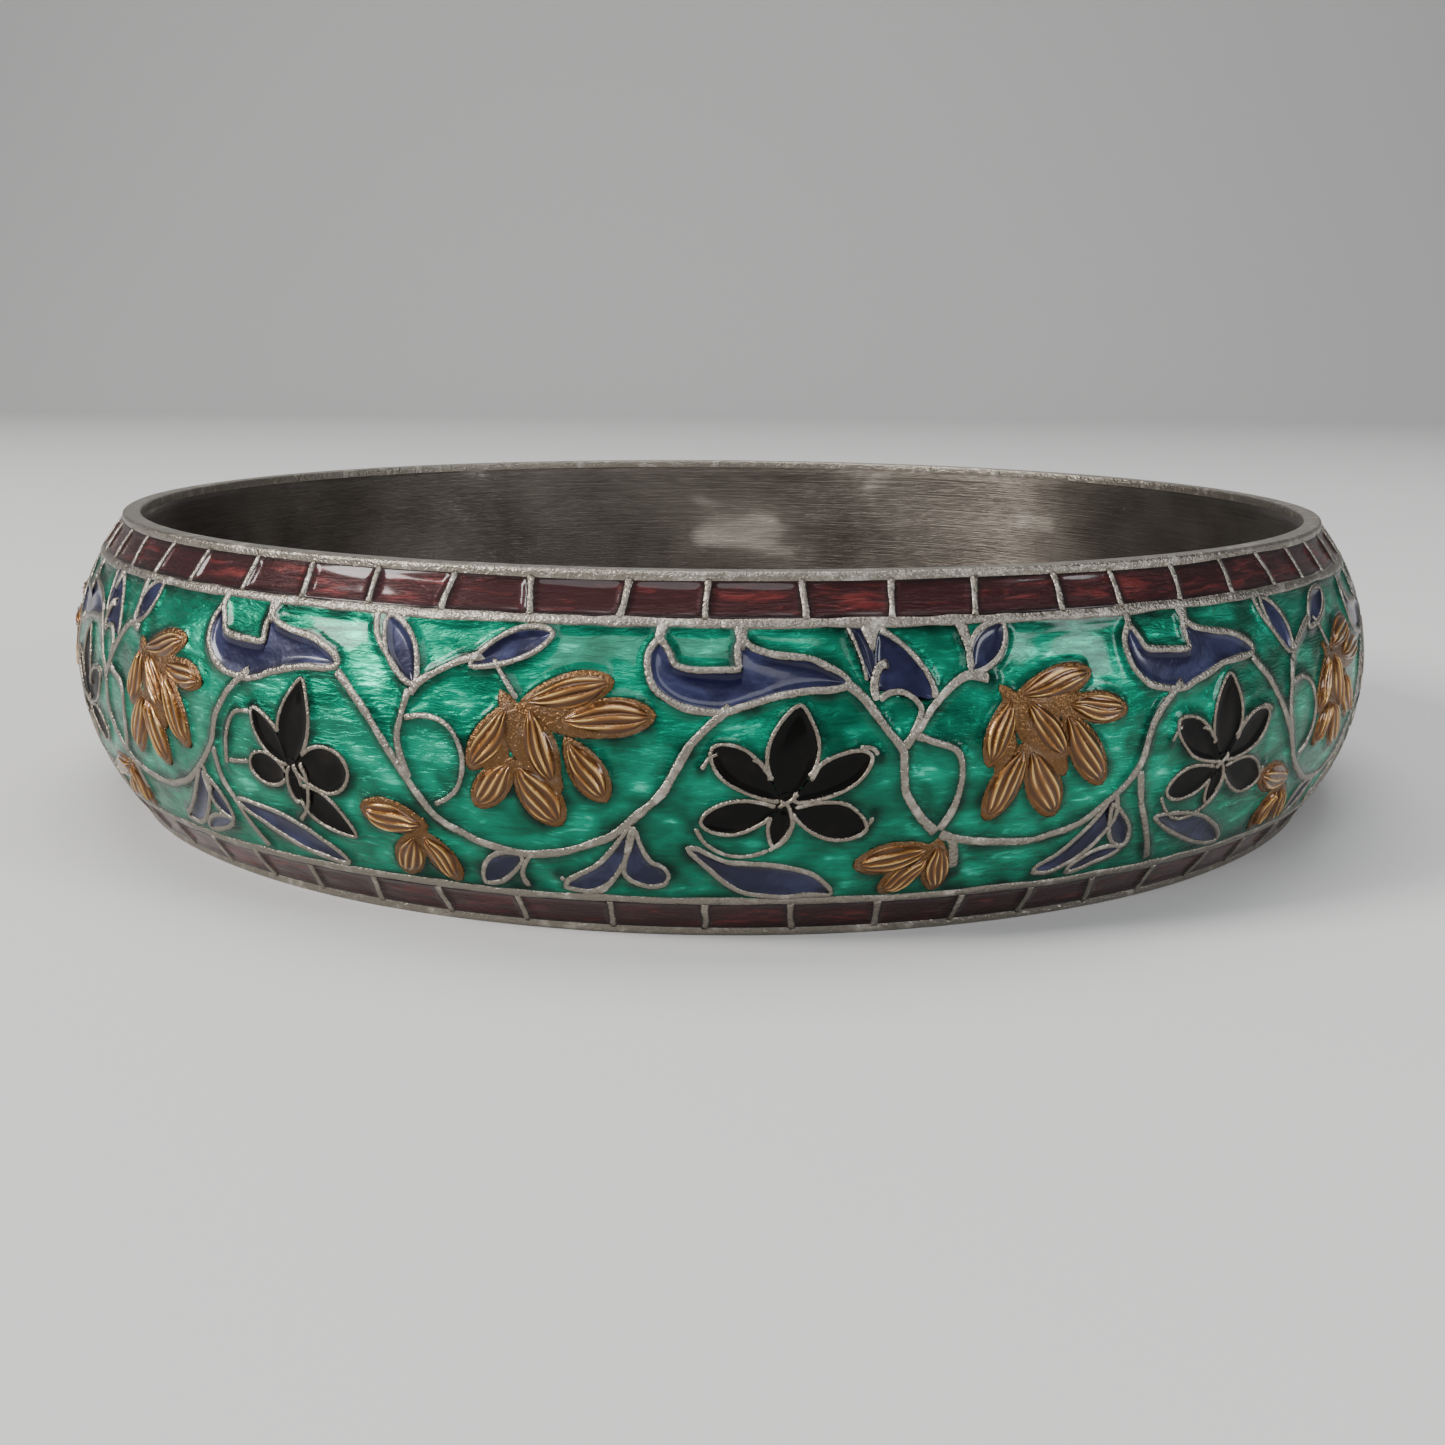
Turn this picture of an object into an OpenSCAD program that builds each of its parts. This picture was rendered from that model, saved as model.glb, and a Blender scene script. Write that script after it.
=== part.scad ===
// Closed silver bangle with an enamelled, domed outer face.
// Z is the axis of the ring and the band stands on Z = 0; the pattern's first repeat faces -Y.

/* [Ring] */
// Inside diameter, the wrist size
inner_d = 60; // [52:1:72]
// Height of the band along its axis
band_h = 14; // [11.5:0.1:17]
// How far the decorated face domes out past the rims
dome_rise = 2.4; // [2:0.1:3]

/* [Silver] */
// Thickness of the plain liner that lies against the wrist
liner_t = 0.35; // [0.25:0.05:0.45]
// Thickness of the domed shell under the enamel
shell_t = 0.4; // [0.3:0.05:0.6]
// Width of each rim ring, measured outwards from the bore
rim_w = 0.85; // [0.8:0.05:1.2]
// Height of each rim ring along the axis
rim_h = 0.35; // [0.3:0.05:0.6]
// Rounding of the outer edge of each rim ring
rim_round = 0.15; // [0.1:0.05:0.25]
// Width of the wall between a row of border cells and the field
border_wall_w = 0.38; // [0.25:0.01:0.5]
// Width of the walls that outline the pattern
wall_w = 0.26; // [0.2:0.01:0.34]
// Width of the scroll's stems
stem_w = 0.36; // [0.28:0.01:0.46]
// Height of all walls above the domed shell
wall_depth = 0.3; // [0.2:0.05:0.35]

/* [Enamel] */
// Height of the row of cells along each rim
cell_h = 1.2; // [0.9:0.05:1.5]
// Number of cells in each row
cell_count = 62; // [48:1:76]
// Width of the bars between the cells
bar_w = 0.3; // [0.2:0.02:0.4]
// How far the enamel lies below the tops of the walls
enamel_dip = 0.05; // [0.02:0.01:0.1]
// How far the amber leaves stand above the tops of the walls
leaf_relief = 0.22; // [0.1:0.02:0.4]

/* [Pattern] */
// Number of repeats of the flower scroll around the ring
repeat_count = 11; // [9:1:11]

/* [Hidden] */
$fn = 180;
inner_r = inner_d / 2;
rim_r = inner_r + rim_w;

// The dome is one arc from rim ring to rim ring, in the plane of radius and height.
dome_half = band_h / 2 - rim_h;
dome_r = (dome_half * dome_half + dome_rise * dome_rise) / (2 * dome_rise);
dome_x = rim_r + dome_rise - dome_r;

// Heights of the border rows and of the field between them
row_top = rim_h + cell_h;
field_z = row_top + border_wall_w;
field_h = band_h - 2 * field_z;

// One repeat is drawn 32.73 units wide, 10 units high, with the flower's middle at a = 0.
draw_pitch = 360 / 11;
draw_left = -9.6;
pitch = 360 / repeat_count;
draw_mid = draw_left + draw_pitch / 2;
// Widths of leaves and petals shrink or grow with the tighter of the two directions.
pitch_w = (rim_r + dome_rise) * pitch * PI / 180;
k = min(pitch_w / 19.13, field_h / 10.12);

// A stem's knuckles are this much wider than the stem.
knuckle = 1.25;

// The top row has a bar at the front; the bottom row's bars stand a quarter of a cell back from it.
bar_angle = 360 / cell_count;
top_phase = 0;
bottom_phase = -bar_angle / 4;

// Angle of the first repeat's flower from the front
flower_at = 4.08;

repeats = [for (i = [1:repeat_count]) i];

// Radius of the dome's surface at height z
function face_r(z) = dome_x + sqrt(dome_r * dome_r - pow(z - band_h / 2, 2));

// A drawn point (a across, b up) as a point in the flat plane that faces the repeat's middle
function at(a, b) =
    let (z = field_z + b / 10 * field_h)
    [face_r(z) * sin((a - draw_mid) * pitch / draw_pitch), z];

// ---- flat shapes ----

// Pointed leaf from p to q, w to each side of its middle line, grown by g
module leaf(p, q, w, g = 0) {
    run = q - p;
    len = norm(run);
    side = [-run.y, run.x] / len;
    r = (len * len / 4 + w * w) / (2 * w);
    intersection() {
        translate((p + q) / 2 + side * (r - w)) circle(r + g);
        translate((p + q) / 2 - side * (r - w)) circle(r + g);
    }
}

// Band of even width along an arc from p to q that bows to its left by bow, with a knuckle at each end
module stem(p, q, bow) {
    run = q - p;
    len = norm(run);
    side = [-run.y, run.x] / len * sign(bow);
    s = abs(bow);
    r = (len * len / 4 + s * s) / (2 * s);
    mid = (p + q) / 2 + side * s;
    c = mid - side * r;
    reach = 1.4;
    intersection() {
        translate(c) difference() {
            circle(r + stem_w / 2);
            circle(r - stem_w / 2);
        }
        polygon([c, c + (p - c) * reach, c + (mid - c) * reach, c + (q - c) * reach]);
    }
    translate(p) circle(d = knuckle * stem_w);
    translate(q) circle(d = knuckle * stem_w);
}

// Six petals that run together at the flower's middle
module flower_shape(g = 0) {
    translate(at(-0.2, 3.7)) circle(0.45 * k + g);
    leaf(at(-0.2, 3.7), at(0.6, 7.2), 0.8 * k, g);
    leaf(at(-0.5, 3.9), at(-4.6, 5.8), 0.5 * k, g);
    leaf(at(0.3, 3.9), at(4.9, 5.4), 0.5 * k, g);
    leaf(at(-0.7, 3.5), at(-5.0, 3.1), 0.5 * k, g);
    leaf(at(0.2, 3.5), at(4.8, 2.9), 0.5 * k, g);
    leaf(at(-0.3, 3.9), at(-0.8, 2.3), 0.3 * k, g);
}

// Hooked leaf over the flower: a round body with a bite out of its top, and a tail
module hook_shape(g = 0) {
    difference() {
        union() {
            translate(at(-5.0, 9.2)) circle(2.1 * k + g);
            leaf(at(-3.8, 8.7), at(3.6, 8.05), 0.7 * k, g);
        }
        translate(at(-5.6, 10.2)) circle(1.35 * k - g);
        // the horns stop below the border, their walls run up to it
        if (g == 0) translate([-pitch_w, at(0, 9.55).y]) square([2 * pitch_w, band_h]);
    }
}

module blue_shape(g = 0) {
    hook_shape(g);
    // two lobes that hang from the top border
    leaf(at(4.3, 9.7), at(6.6, 7.6), 0.42 * k, g);
    leaf(at(6.4, 9.7), at(9.3, 7.7), 0.55 * k, g);
    // leaf on the fork
    leaf(at(14.6, 9.75), at(11.9, 8.3), 0.42 * k, g);
    // long leaf under the flower
    leaf(at(-6.0, 1.9), at(2.9, 0.35), 0.5 * k, g);
    // small leaf and the pair of lobes under the arc
    leaf(at(15.1, 1.3), at(12.9, 0.15), 0.36 * k, g);
    leaf(at(20.5, 1.95), at(17.4, 0.25), 0.42 * k, g);
    leaf(at(21.55, 2.1), at(21.6, 0.25), 0.36 * k, g);
}

module amber_shape(g = 0) {
    // cluster of seven
    leaf(at(15.2, 7.65), at(20.7, 8.05), 0.5 * k, g);
    leaf(at(18.5, 7.0), at(22.0, 6.75), 0.45 * k, g);
    leaf(at(18.6, 6.2), at(21.2, 4.05), 0.5 * k, g);
    leaf(at(15.6, 7.05), at(17.9, 4.95), 0.46 * k, g);
    leaf(at(14.5, 7.1), at(12.9, 5.15), 0.46 * k, g);
    leaf(at(15.0, 5.3), at(13.1, 3.25), 0.46 * k, g);
    leaf(at(15.9, 4.95), at(18.0, 3.05), 0.5 * k, g);
    // bud of three
    leaf(at(4.85, 1.35), at(9.1, 1.75), 0.45 * k, g);
    leaf(at(9.5, 1.3), at(8.0, 0.2), 0.3 * k, g);
    leaf(at(10.5, 1.75), at(10.7, 0.2), 0.36 * k, g);
}

// The scroll: up past the flower, over it with the hook, down to the bud, and along the bottom
module stems_shape() {
    stem(at(-10.4, 2.85), at(-6.6, 5.6), 0.12 * k);
    stem(at(-6.6, 5.6), at(-4.4, 7.0), -0.08 * k);
    stem(at(3.7, 8.0), at(7.0, 5.8), 0.2 * k);
    stem(at(7.0, 5.8), at(7.5, 4.1), -0.06 * k);
    stem(at(7.5, 4.1), at(9.9, 2.3), -0.1 * k);
    stem(at(7.0, 5.8), at(9.5, 7.4), -0.12 * k);
    stem(at(9.5, 7.4), at(13.2, 8.0), 0.25 * k);
    stem(at(8.0, 6.3), at(11.0, 5.5), 0.3 * k);
    stem(at(11.0, 5.5), at(9.9, 2.3), 0.2 * k);
    stem(at(9.9, 2.3), at(18.9, 2.35), -0.35 * k);
    stem(at(18.9, 2.35), at(24.8, 4.3), -0.25 * k);
}

// Everything that stands in the green ground
module outlines() {
    flower_shape(wall_w);
    blue_shape(wall_w);
    amber_shape(wall_w);
    stems_shape();
}

// ---- sections in the plane of radius and height ----

// Slice between the dome grown by out and the dome sunk by depth, from height z0 to z1
module dome_slice(out, depth, z0, z1) {
    intersection() {
        translate([dome_x, band_h / 2]) difference() {
            circle(dome_r + out);
            circle(dome_r - depth);
        }
        translate([inner_r + liner_t, z0]) square([rim_w + dome_rise + out, z1 - z0]);
    }
}

// Rim ring's section at the foot of the band, its outer lower edge rounded
module rim_section() {
    translate([inner_r, 0]) difference() {
        square([rim_w, rim_h]);
        translate([rim_w - rim_round, 0]) difference() {
            square([rim_round, rim_round]);
            translate([0, rim_round]) circle(rim_round);
        }
    }
}

// Same thing at the top of the band
module from_top() {
    translate([0, band_h]) mirror([0, 1]) children();
}

// ---- solids ----

// Turned through the whole ring
module around() {
    rotate_extrude() children();
}

// Turned through a part of the ring that starts at angle from, measured from the front
module part_way(from, angle) {
    rotate([0, 0, from - 90]) rotate_extrude(angle = angle) children();
}

// A flat shape pushed out through the face of repeat i
module through_face(i) {
    rotate([0, 0, middle(i)]) translate([0, -0.75 * inner_r, 0]) rotate([90, 0, 0])
        linear_extrude(height = 0.25 * inner_r + rim_w + dome_rise + 2) children();
}

// Angle of a repeat's middle from the front
function middle(i) = flower_at + draw_mid * pitch / draw_pitch + (i - 1) * pitch;

// The field of repeat i, from out above the dome to the shell
module field_part(i, out) {
    part_way(middle(i) - pitch / 2, pitch)
        dome_slice(out, wall_depth, field_z, band_h - field_z);
}

module inner_liner() {
    color("silver") around()
        translate([inner_r, rim_h]) square([liner_t, band_h - 2 * rim_h]);
}

module domed_shell() {
    color("gainsboro") around()
        dome_slice(-wall_depth, wall_depth + shell_t, rim_h, band_h - rim_h);
}

module bottom_rim() {
    color("silver") around() rim_section();
}

module top_rim() {
    color("silver") around() from_top() rim_section();
}

module border_wall(z) {
    color("silver") around() dome_slice(0, wall_depth, z, z + border_wall_w);
}

// Bars between the border cells, each as wide at the rim as at the field
module bars(z, phase) {
    turn = bar_w / rim_r * 180 / PI;
    color("silver") for (i = [0:cell_count - 1])
        part_way(phase + i * bar_angle - turn / 2, turn)
            dome_slice(0, wall_depth, z, z + cell_h);
}

module maroon_cells(z, phase) {
    turn = bar_w / rim_r * 180 / PI;
    color("maroon") for (i = [0:cell_count - 1])
        part_way(phase + i * bar_angle + turn / 2, bar_angle - turn)
            dome_slice(-enamel_dip, wall_depth, z, z + cell_h);
}

module scroll_walls(i) {
    color("lightgray") intersection() {
        field_part(i, 0);
        through_face(i) difference() {
            outlines();
            flower_shape();
            blue_shape();
            amber_shape();
        }
    }
}

module green_ground(i) {
    color("seagreen") difference() {
        field_part(i, -enamel_dip);
        through_face(i) outlines();
    }
}

module blue_leaves(i) {
    color("midnightblue") intersection() {
        field_part(i, -enamel_dip);
        through_face(i) blue_shape();
    }
}

module amber_leaves(i) {
    color("darkgoldenrod") intersection() {
        field_part(i, leaf_relief);
        through_face(i) amber_shape();
    }
}

module black_flower(i) {
    color("black") intersection() {
        field_part(i, -enamel_dip);
        through_face(i) flower_shape();
    }
}

inner_liner();
domed_shell();
top_rim();
bottom_rim();
border_wall(band_h - field_z);  // top_border_wall
border_wall(row_top);  // bottom_border_wall
bars(band_h - row_top, top_phase);  // top_bars
bars(rim_h, bottom_phase);  // bottom_bars
maroon_cells(band_h - row_top, top_phase);  // top_maroon_cells
maroon_cells(rim_h, bottom_phase);  // bottom_maroon_cells
for (i = repeats) black_flower(i);  // black_flowers
for (i = repeats) {
    scroll_walls(i);
    green_ground(i);
    blue_leaves(i);
    amber_leaves(i);
}
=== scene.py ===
import math
import bpy
import numpy as np
from mathutils import Matrix, Vector


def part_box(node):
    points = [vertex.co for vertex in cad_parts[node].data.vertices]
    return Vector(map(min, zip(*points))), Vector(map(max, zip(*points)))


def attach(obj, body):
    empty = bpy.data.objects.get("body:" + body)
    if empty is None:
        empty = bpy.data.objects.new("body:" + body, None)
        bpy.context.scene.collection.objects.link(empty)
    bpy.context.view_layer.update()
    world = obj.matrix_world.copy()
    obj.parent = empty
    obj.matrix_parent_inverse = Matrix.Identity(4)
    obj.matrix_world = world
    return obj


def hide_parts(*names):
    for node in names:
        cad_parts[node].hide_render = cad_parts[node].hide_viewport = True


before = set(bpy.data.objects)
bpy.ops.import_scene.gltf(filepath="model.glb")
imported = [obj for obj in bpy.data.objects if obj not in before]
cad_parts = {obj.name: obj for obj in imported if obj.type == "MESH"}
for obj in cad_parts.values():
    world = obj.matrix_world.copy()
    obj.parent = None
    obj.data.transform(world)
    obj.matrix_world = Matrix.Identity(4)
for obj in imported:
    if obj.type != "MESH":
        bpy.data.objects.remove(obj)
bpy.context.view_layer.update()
print("frame loaded,", len(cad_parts), "nodes")

# All shapes are worked out in millimetres on the unrolled band: x runs round it, y up it,
# and lift stands out from the domed face. onDome() turns them into metres in the frame.
mm = 0.001


def nodeBox(node):
    low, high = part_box(node)
    return np.array(low) / mm, np.array(high) / mm


band = {
    "rise": 2.4,  # how far the face domes out past the rims
    "rimRound": 0.15,
    "linerThickness": 0.35,
    "edge": 0.02,  # walls keep this far inside the band's ends
    "seed": 7,
}
ringLow, ringHigh = nodeBox("bottom_rim")
bandHeight = nodeBox("top_rim")[1][2]
rimHeight = ringHigh[2]
rimRadius = ringHigh[0]
boreRadius = -nodeBox("inner_liner")[0][1] - band["linerThickness"]
wallLow, wallHigh = nodeBox("bottom_border_wall")[0][2], nodeBox("bottom_border_wall")[1][2]
fieldLow, fieldHigh = wallHigh, bandHeight - wallHigh
middle = bandHeight / 2
domeHalf = middle - rimHeight
domeRadius = (domeHalf**2 + band["rise"] ** 2) / (2 * band["rise"])
domeCentre = rimRadius + band["rise"] - domeRadius
faceRadius = rimRadius + band["rise"]
roundTheBand = 2 * math.pi * faceRadius
perDegree = roundTheBand / 360
draws = np.random.default_rng(band["seed"])


def onDome(x, y, lift):
    # the angle is x over the face's radius, the radius comes from the dome's arc at height y,
    # and lift goes out along the arc's own radius
    angle = x / faceRadius
    up = y - middle
    out = np.sqrt(domeRadius**2 - up**2)
    radius = domeCentre + out * (1 + lift / domeRadius)
    height = y + up * lift / domeRadius
    return np.stack([radius * np.sin(angle), -radius * np.cos(angle), height], -1) * mm


# ---- curves on the unrolled band ----


def throughPoints(points, count, closed=False):
    # Catmull-Rom: each stretch is a cubic through its two points, sloped by their neighbours
    p = np.asarray(points, float)
    if closed:
        p = np.vstack([p[-1], p, p[:2]])
    else:
        p = np.vstack([2 * p[0] - p[1], p, 2 * p[-1] - p[-2]])
    spans = len(p) - 3
    t = np.linspace(0, spans, count, endpoint=not closed)
    k = np.minimum(t.astype(int), spans - 1)
    f = (t - k)[:, None]
    a, b, c, d = p[k], p[k + 1], p[k + 2], p[k + 3]
    return b + 0.5 * f * (c - a + f * (2 * a - 5 * b + 4 * c - d + f * (3 * (b - c) + d - a)))


def runAlong(path):
    # length of the line up to each of its points
    return np.concatenate([[0], np.cumsum(np.hypot(*np.diff(path, axis=0).T))])


def evenly(path, step, closed=False):
    # the same line with its points step apart
    p = np.vstack([path, path[:1]]) if closed else path
    run = runAlong(p)
    count = max(int(run[-1] / step), 6)
    at = np.linspace(0, run[-1], count, endpoint=not closed)
    return np.stack([np.interp(at, run, p[:, 0]), np.interp(at, run, p[:, 1])], -1)


def crossing(path, closed=False):
    # unit direction across the line, to its left
    ahead = np.roll(path, -1, 0) - np.roll(path, 1, 0)
    if not closed:
        ahead[0], ahead[-1] = path[1] - path[0], path[-1] - path[-2]
    ahead /= np.maximum(np.hypot(*ahead.T), 1e-6)[:, None]
    return np.stack([-ahead[:, 1], ahead[:, 0]], -1)


def unsteady(count, knots, spread, closed=False):
    # a smooth wavering number: a curve through a few seeded draws
    drawn = draws.normal(0, spread, knots)
    curve = throughPoints(np.stack([np.arange(knots), drawn], -1), count, closed)
    return curve[:, 1]


def leafEdges(base, tip, half, bow=0.0, blunt=0.75, fat=0.5, count=30):
    # right and left edges of a leaf: the half width is half * sin(pi * t^g)^blunt, widest at fat
    base, tip = np.asarray(base, float), np.asarray(tip, float)
    t = np.linspace(0, 1, count)
    g = math.log(0.5) / math.log(fat)
    width = half * np.maximum(np.sin(np.pi * t**g), 0) ** blunt + 0.012
    side = crossing(np.array([base, tip]))[0]
    line = base + (tip - base) * t[:, None] + side * (bow * np.sin(np.pi * t))[:, None]
    return line - side * width[:, None], line + side * width[:, None]


def stationEdges(stations, count=34):
    # edges through pairs of points that face each other across the shape
    s = np.asarray(stations, float)
    return throughPoints(s[:, :2], count), throughPoints(s[:, 2:], count)


def outlineOf(edges):
    right, left = edges
    return np.vstack([right, left[-2:0:-1]])


def turnsLeft(loop):
    nxt = np.roll(loop, -1, 0)
    return np.sum(loop[:, 0] * nxt[:, 1] - nxt[:, 0] * loop[:, 1]) > 0


def between(edges, v):
    # grid of points from the right edge (v = -1) to the left edge (v = 1)
    right, left = edges
    return right[:, None] * (0.5 - v[..., None] / 2) + left[:, None] * (0.5 + v[..., None] / 2)


# ---- pieces ----


# across a wall: half widths and lift, from the floor up one flank, over the rounded top and down
enamelFloor = -0.27
wallProfile = np.array([(-1, enamelFloor), (-1, -0.04), (-0.84, 0.03), (-0.5, 0.062), (0, 0.072),
                        (0.5, 0.062), (0.84, 0.03), (1, -0.04), (1, enamelFloor)])
wallTone = np.array([0, 0.1, 0.55, 0.95, 1, 0.95, 0.55, 0.1, 0])
wallDiveReach = 0.1


def tubeQuads(count, sides, closed):
    # faces between each ring of points and the next, and from the last to the first where closed
    i, k = np.arange(count if closed else count - 1)[:, None], np.arange(sides)[None]
    n, nextK = (i + 1) % count, (k + 1) % sides
    return np.stack([i * sides + k, n * sides + k, n * sides + nextK, i * sides + nextK], -1)


class Piece:
    # gathers closed lumps and makes them one mesh, with a UV map in centimetres of the unrolled
    # band, and two marks at each point that the finishes read

    def __init__(self):
        self.points, self.quads, self.caps, self.flat, self.uv, self.marks = [], [], [], [], [], []
        self.count, self.outward = 0, None

    def lump(self, points, quads, caps, flat, uv, marks):
        self.points.append(points.reshape(-1, 3))
        self.quads.append(quads.reshape(-1, 4) + self.count)
        self.caps += [np.asarray(cap) + self.count for cap in caps]
        self.flat.append(flat)
        self.uv.append(uv.reshape(-1, 2))
        self.marks.append(marks.reshape(-1, 2))
        self.count += len(self.points[-1])

    def slab(self, x, y, lift, floor, tone, warm=0.0, rows=2, ring=False, outward=None):
        # closed plate: a grid of face points, rows of points under it, side strips and end caps;
        # outward gives the face points' directions where neighbouring plates have to shade as one
        across, up = x.shape
        kept = np.linspace(0, up - 1, rows).round().astype(int)
        floorLift = np.full((across, rows), floor)
        points = np.vstack([onDome(x, y, lift).reshape(-1, 3),
                            onDome(x[:, kept], y[:, kept], floorLift).reshape(-1, 3)])
        i = np.arange(across if ring else across - 1)[:, None]
        n = (i + 1) % across
        j, r = np.arange(up - 1)[None], np.arange(rows - 1)[None]
        under = across * up
        face = np.stack([i * up + j, n * up + j, n * up + j + 1, i * up + j + 1], -1).reshape(-1, 4)
        b, m = under + i * rows, under + n * rows
        back = np.stack([b + r, b + r + 1, m + r + 1, m + r], -1).reshape(-1, 4)
        low = np.hstack([b, m, n * up, i * up])
        high = np.hstack([i * up + up - 1, n * up + up - 1, m + rows - 1, b + rows - 1])
        caps = []
        if not ring:
            faceLine, backLine = np.arange(up), under + np.arange(rows)
            caps = [np.concatenate([faceLine, backLine[::-1]])]
            faceLine, backLine = faceLine + (across - 1) * up, backLine + (across - 1) * rows
            caps.append(np.concatenate([faceLine[::-1], backLine]))
        flat = np.concatenate([np.zeros(len(face), bool), np.ones(len(back) + 2 * len(i), bool)])
        flatUv = np.stack([x, y], -1) / 10
        uv = np.vstack([flatUv.reshape(-1, 2), flatUv[:, kept].reshape(-1, 2)])
        face2 = np.stack([tone, np.broadcast_to(warm, x.shape)], -1)
        marks = np.vstack([face2.reshape(-1, 2), face2[:, kept].reshape(-1, 2)])
        if outward is not None:
            self.outward = np.vstack([outward.reshape(-1, 3), np.zeros((across * rows, 3))])
        self.lump(points, np.vstack([face, back, low, high]), caps, flat, uv, marks)

    def wall(self, path, half, closed=False, dive=0.0, warm=0.0):
        # wallProfile carried along the line, its top diving at open ends by a bell curve of the run
        side = crossing(path, closed)
        count, sides = len(path), len(wallProfile)
        reach = np.broadcast_to(half, count)[:, None] * wallProfile[:, 0]
        x = path[:, :1] + side[:, :1] * reach
        y = path[:, 1:] + side[:, 1:] * reach
        y = np.clip(y, band["edge"], bandHeight - band["edge"])
        run = runAlong(path)[:, None]
        end = np.minimum(run, run[-1] - run)
        sunk = 0.0 if closed else dive * np.exp(-((end / wallDiveReach) ** 2))
        points = onDome(x, y, wallProfile[:, 1] - sunk * (wallProfile[:, 1] > enamelFloor))
        quads = tubeQuads(count, sides, closed)
        ends = np.arange(sides)
        caps = [] if closed else [ends, (ends + (count - 1) * sides)[::-1]]
        uv = np.stack(np.broadcast_arrays(run / 10, reach / 10), -1)
        marks = np.stack(np.broadcast_arrays(wallTone, np.full((count, 1), warm)), -1)
        self.lump(points, quads, caps, np.zeros(quads.size // 4, bool), uv, marks)

    def make(self, name, slot, finish, *nodes):
        points, quads = np.vstack(self.points), np.vstack(self.quads)
        uv, marks = np.vstack(self.uv), np.vstack(self.marks)
        mesh = bpy.data.meshes.new(name)
        mesh.vertices.add(len(points))
        mesh.vertices.foreach_set("co", points.astype(np.float32).ravel())
        corners = np.concatenate([quads.ravel(), *self.caps]).astype(np.int32)
        sizes = np.concatenate([np.full(len(quads), 4), [len(cap) for cap in self.caps]]).astype(int)
        mesh.loops.add(len(corners))
        mesh.loops.foreach_set("vertex_index", corners)
        mesh.polygons.add(len(sizes))
        mesh.polygons.foreach_set("loop_start", (np.cumsum(sizes) - sizes).astype(np.int32))
        smooth = np.concatenate([~np.concatenate(self.flat), np.zeros(len(self.caps), bool)])
        mesh.polygons.foreach_set("use_smooth", smooth)
        mesh.update(calc_edges=True)
        mesh.validate()
        mesh.uv_layers.new(name="UVMap").data.foreach_set("uv", uv[corners].astype(np.float32).ravel())
        for column, label in enumerate(("tone", "warm")):
            mark = mesh.attributes.new(label, "FLOAT", "POINT")
            mark.data.foreach_set("value", marks[:, column].astype(np.float32))
        if self.outward is not None:
            mesh.normals_split_custom_set_from_vertices(self.outward.tolist())
        made = bpy.data.objects.new(name, mesh)
        bpy.context.scene.collection.objects.link(made)
        mesh.materials.append(finish)
        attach(made, "root")
        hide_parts(*nodes)
        return made


# ---- finishes ----


class Shade:
    # one number in a material: arithmetic on it adds Math nodes

    def __init__(self, tree, socket):
        self.tree, self.socket = tree, socket

    def maths(self, operation, other, swapped=False, clamp=False):
        made = self.tree.nodes.new("ShaderNodeMath")
        made.operation, made.use_clamp = operation, clamp
        pair = (other, self) if swapped else (self, other)
        for slot, value in zip(made.inputs, pair):
            if isinstance(value, Shade):
                self.tree.links.new(value.socket, slot)
            else:
                slot.default_value = value
        return Shade(self.tree, made.outputs[0])

    def __add__(self, other):
        return self.maths("ADD", other)

    def __sub__(self, other):
        return self.maths("SUBTRACT", other)

    def __rsub__(self, other):
        return self.maths("SUBTRACT", other, swapped=True)

    def __mul__(self, other):
        return self.maths("MULTIPLY", other)

    def __pow__(self, other):
        return self.maths("POWER", other)

    def held(self):
        return self.maths("ADD", 0.0, clamp=True)

    __radd__ = __add__
    __rmul__ = __mul__


class Finish:
    # a material with one glossy shader; node() adds any other node

    def __init__(self, name, constants):
        self.material = bpy.data.materials.new(name)
        self.material.use_nodes = True
        self.tree = self.material.node_tree
        self.shader = self.tree.nodes["Principled BSDF"]
        for key, value in constants.items():
            self.shader.inputs[key].default_value = value

    def node(self, kind, settings, inputs, output=0):
        made = self.tree.nodes.new("ShaderNode" + kind)
        for key, value in settings.items():
            if key == "stops":
                while len(made.color_ramp.elements) < len(value):
                    made.color_ramp.elements.new(1.0)
                for stop, (place, colour) in zip(made.color_ramp.elements, value):
                    stop.position, stop.color = place, colour
            else:
                setattr(made, key, value)
        for key, value in inputs.items():
            self.feed(made.inputs[key], value)
        return Shade(self.tree, made.outputs[output])

    def feed(self, slot, value):
        if isinstance(value, Shade):
            self.tree.links.new(value.socket, slot)
        else:
            slot.default_value = value

    def roundTheRing(self, across, up):
        # the object's own place, scaled per centimetre, so a pattern runs round the ring with no seam
        place = self.node("TexCoord", {}, {}, 3)
        scale = (across * 100, across * 100, up * 100)
        return self.node("Mapping", {}, {"Vector": place, "Scale": scale})

    def noise(self, across, up, detail=3.0, rough=0.55, twist=0.0):
        inputs = {"Vector": self.roundTheRing(across, up), "Scale": 1.0, "Detail": detail,
                  "Roughness": rough, "Distortion": twist}
        return self.node("TexNoise", {}, inputs)

    def mark(self, label):
        return self.node("Attribute", {"attribute_name": label}, {}, 2)

    def ramp(self, value, low, high):
        # 0 below low, 1 above high
        return self.node("MapRange", {"interpolation_type": "SMOOTHSTEP"},
                         {"Value": value, "From Min": low, "From Max": high})

    def mix(self, share, a, b):
        return self.node("Mix", {"data_type": "RGBA"}, {0: share, 6: a, 7: b}, 2)

    def bump(self, height, distance, strength=1.0):
        inputs = {"Height": height, "Distance": distance, "Strength": strength}
        self.feed(self.shader.inputs["Normal"], self.node("Bump", {}, inputs))

    def set(self, slot, value):
        self.feed(self.shader.inputs[slot], value)


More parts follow.
